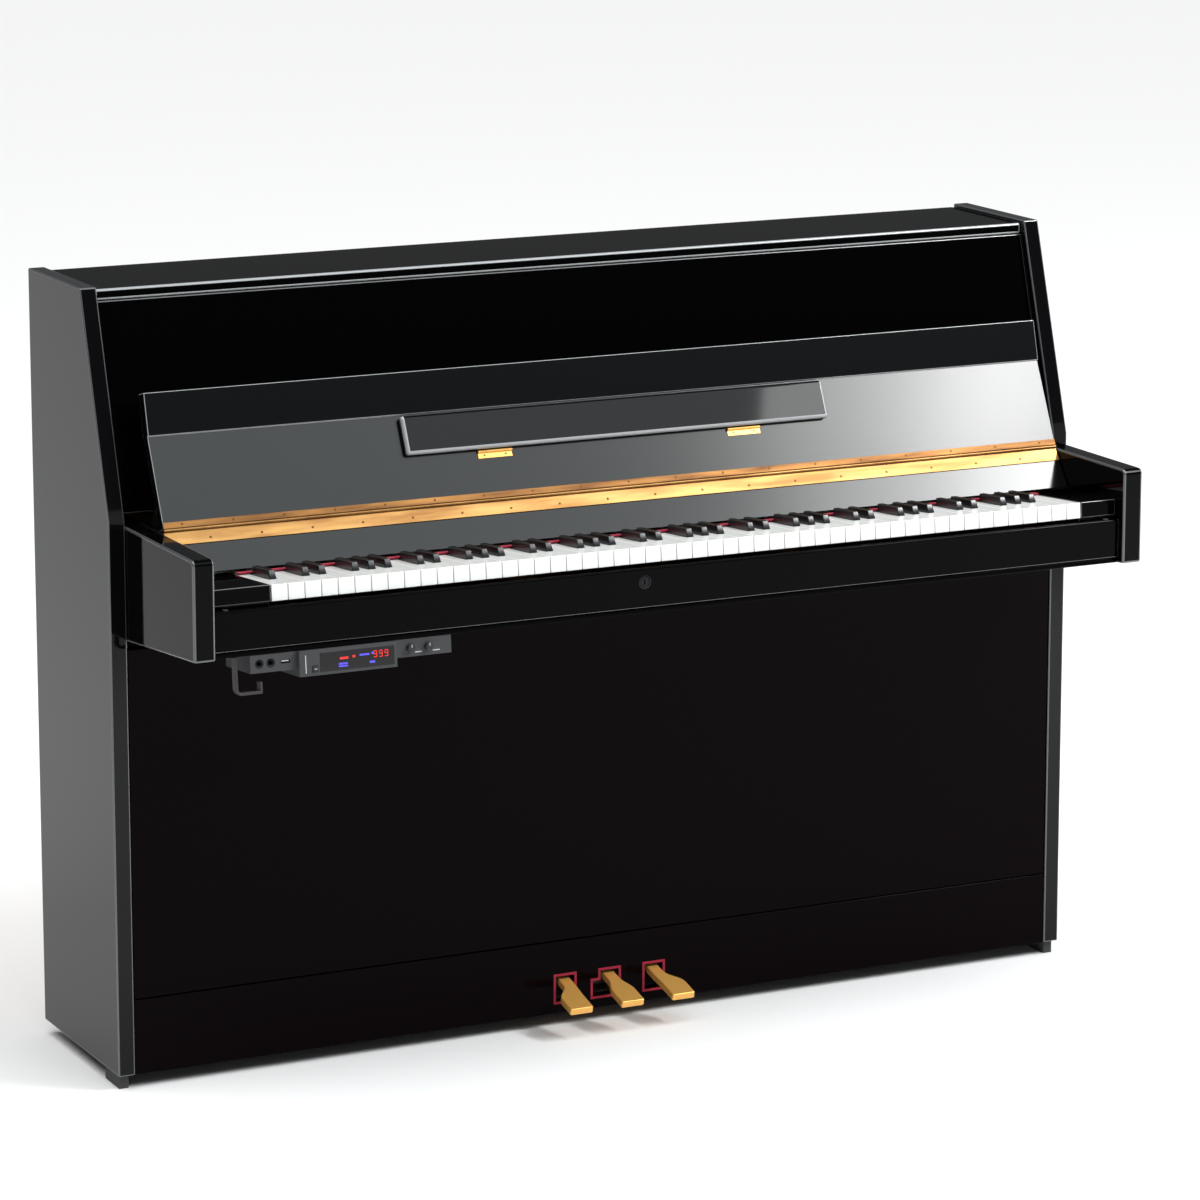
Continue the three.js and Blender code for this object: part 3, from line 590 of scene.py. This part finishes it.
def make_display_figures():
    """Three red figures made of bars, which stand for the display's reading: three level bars, the
    whole right side and the upper half of the left one."""
    upper = (FIGURE_HEIGHT - BAR) / 2
    bars = [(0, FIGURE_WIDTH, foot, foot + BAR) for foot in (0, upper, FIGURE_HEIGHT - BAR)]
    bars += [(FIGURE_WIDTH - BAR, FIGURE_WIDTH, 0, FIGURE_HEIGHT), (0, BAR, upper, FIGURE_HEIGHT)]
    placed = [
        (x + x0, x + x1, FIGURE_FOOT + z0, FIGURE_FOOT + z1) for x in FIGURES_X for x0, x1, z0, z1 in bars]
    display_piece("display_figures", placed, 0.9, red_glow)


def make_display_marks():
    """Plain bars where the display's other signs are."""
    top = UNIT_TOP
    red = [(-512, -500, top - 16, top - 13), (-494, -490, top - 15, top - 12)]
    blue = [
        (-514, -501, top - 23, top - 20.5), (-514, -501, top - 26, top - 24),
        (-484, -470, top - 14, top - 11.5), (-467, -463, top - 13, top - 10.5),
        (-470, -462, top - 25, top - 22)]
    display_piece("display_mark_red", red, 0.8, red_glow)
    display_piece("display_mark_blue", blue, 0.8, blue_glow)


def make_knob_marks():
    for i, x in enumerate(KNOBS_X, start=1):
        low, high = (x - 0.5, -8.0, UNIT_MIDDLE + 1), (x + 0.5, -7.3, UNIT_MIDDLE + 5)
        box_piece(f"unit_knob_pointer_{i}", low, high, f"unit_knob_{i}", label_grey, KEYS, 0.1 * MM)
        low, high = (x + 7, -0.3, UNIT_MIDDLE - 7), (x + 17, 0.1, UNIT_MIDDLE - 5.6)
        box_piece(f"unit_knob_label_{i}", low, high, "case", label_grey, KEYS, 0.05 * MM)
    low, high = (-549, -9.8, UNIT_TOP - 25.5), (-545, -9.4, UNIT_TOP - 24.5)
    box_piece("unit_button_mark", low, high, "unit_button", label_grey, KEYS, 0.05 * MM)


def make_unit_details():
    make_sockets()
    make_display_glass()
    make_display_figures()
    make_display_marks()
    make_knob_marks()


# ---------------------------------------------------------------- inside and back
PIN_ROWS, PINS_PER_ROW = 3, 66
PIN_SPAN = 1200
PIN_Y, PIN_Z = 151, 1012
PIN_ROW_STEP = 11
LID_SCREWS = 17
BOLTS_X = (-669, -334, 0, 334, 669)
BOLTS_Z = (95, 150, 975, 1030)
CASTER_X, CASTER_Y, CASTER_Z = 560, 242.5, 22


def make_tuning_pins():
    pins = bmesh.new()
    for row in range(PIN_ROWS):
        for i in range(PINS_PER_ROW):
            x = -PIN_SPAN / 2 + PIN_SPAN * (i + row / PIN_ROWS) / PINS_PER_ROW
            centre = (x, PIN_Y, PIN_Z + PIN_ROW_STEP * row)
            add_cylinder(pins, centre, radius=2.6, depth=27, axis="y", segments=8)
    place("tuning_pins", pins, "case", wire)


def make_lid_hinge():
    """The fixed leaf of the lid's long hinge, which stands behind the lid over the back frame."""
    low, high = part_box("top_lid")
    rear, foot, top = high[1] / MM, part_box("back_frame")[1][2] / MM - 13, high[2] / MM
    left, right = low[0] / MM + 4, high[0] / MM - 4
    low, high = (left, rear + 0.4, foot), (right, rear + 2.2, top - 0.3)
    box_piece("lid_hinge_leaf", low, high, "case", satin_black)
    screws = bmesh.new()
    for i in range(LID_SCREWS):
        centre = (left + (right - left) * (i + 0.5) / LID_SCREWS, rear + 2.4, foot + 6)
        add_cylinder(screws, centre, radius=2.6, depth=0.8, axis="y", segments=SCREW_SIDES)
    place("lid_hinge_screws", screws, "case", nickel)


def make_back_bolts():
    bolts = bmesh.new()
    for x in BOLTS_X:
        for z in BOLTS_Z:
            add_cylinder(bolts, (x, 266, z), radius=8, depth=4, axis="y", segments=6)
    place("back_frame_bolts", bolts, "case", steel, edge=0.6 * MM)


def make_casters():
    """An axle through each rear caster's fork, and a hub on both sides of its wheel."""
    for word, x in (("left", -CASTER_X), ("right", CASTER_X)):
        axle = bmesh.new()
        add_cylinder(axle, (x, CASTER_Y, CASTER_Z), radius=3.5, depth=38.5, axis="x", segments=16)
        place(f"rear_caster_axle_{word}", axle, "case", steel, edge=0.6 * MM)
        hub = bmesh.new()
        for side in (-1, 1):
            centre = (x + side * 9.2, CASTER_Y, CASTER_Z)
            add_cylinder(hub, centre, radius=10, depth=1.2, axis="x", segments=24)
        place(f"rear_caster_hub_{word}", hub, f"rear_caster_wheel_{word}", steel, edge=0.3 * MM)


# ---------------------------------------------------------------- floor, lights and camera
PIANO_MIDDLE = Vector((0, 0, 0.87))  # what the front softbox is aimed at
SOFTBOX_DISTANCE = 5.0
STRIP_HEIGHT = 2.6
STRIPS_RIGHT = 3.55  # the right edge that both strips share


def add_to_stage(name, data):
    made = bpy.data.objects.new(name, data)
    bpy.context.scene.collection.objects.link(made)
    return made


def make_floor():
    mesh = bmesh.new()
    bmesh.ops.create_grid(mesh, x_segments=1, y_segments=1, size=40)
    data = bpy.data.meshes.new("floor")
    mesh.to_mesh(data)
    mesh.free()
    data.materials.append(material("floor_pale", (0.9, 0.9, 0.9), 0.9, Specular_IOR_Level=0.0))
    add_to_stage("floor", data)


def make_world():
    world = bpy.data.worlds.new("studio")
    world.use_nodes = True
    background = world.node_tree.nodes["Background"]
    background.inputs["Color"].default_value = (0.95, 0.97, 1.0, 1)
    background.inputs["Strength"].default_value = 0.16
    bpy.context.scene.world = world


def make_overhead():
    sky = bpy.data.lights.new("overhead", "SUN")
    sky.energy = 2.7
    sky.angle = math.radians(60)
    add_to_stage("overhead", sky).rotation_euler = (math.radians(4), math.radians(-12), 0)


def area_light(name, width, height, energy, location):
    light = bpy.data.lights.new(name, "AREA")
    light.shape = "RECTANGLE"
    light.size, light.size_y = width, height
    light.energy = energy
    made = add_to_stage(name, light)
    made.location = location
    return made


def make_softboxes():
    """The leaning leaf and the board under it mirror what stands to the right and above. One broad box
    fills both. A bright strip over a dimmer, wider one lights their treble ends."""
    azimuth, elevation = math.radians(31), math.radians(46)
    away = Vector((
        math.sin(azimuth) * math.cos(elevation), -math.cos(azimuth) * math.cos(elevation),
        math.sin(elevation)))
    location = PIANO_MIDDLE + away * SOFTBOX_DISTANCE
    box = area_light("front_softbox", 4.6, 3.2, 115, location)
    box.data.color = (0.93, 1.0, 1.01)
    box.rotation_mode = "QUATERNION"
    box.rotation_quaternion = away.to_track_quat("Z", "Y")

    for name, width, energy in (("treble_softbox", 0.5, 150), ("treble_halo", 1.0, 80)):
        location = (STRIPS_RIGHT - width / 2, -2.8, 4.15)
        strip = area_light(name, width, STRIP_HEIGHT, energy, location)
        strip.rotation_euler = (math.radians(34), 0, 0)


def make_camera():
    """The photograph's viewing angle, with a small downward shift and the rest of its drop as pitch."""
    pitch, heading = math.radians(11.09), math.radians(26.124)
    data = bpy.data.cameras.new("camera")
    data.sensor_width = 36
    data.lens = 146.541
    data.shift_y = -0.10
    data.clip_end = 200
    camera = bpy.data.objects.new("camera", data)
    camera.location = (-2.951, -6.0111, 2.0903)
    camera.rotation_euler = (math.radians(90) - pitch, 0, -heading)
    bpy.context.scene.collection.objects.link(camera)
    bpy.context.scene.camera = camera


def set_tones():
    """Plain tones, so that black lacquer stays black and the floor comes out near white."""
    bpy.context.scene.view_settings.view_transform = "Standard"


finish_frame()
make_keys()
make_fallboard_details()
make_lock_ring()
make_slip_buffers()
make_pedal_felts()
make_unit_details()
make_tuning_pins()
make_lid_hinge()
make_back_bolts()
make_casters()
make_floor()
make_world()
make_overhead()
make_softboxes()
make_camera()
set_tones()
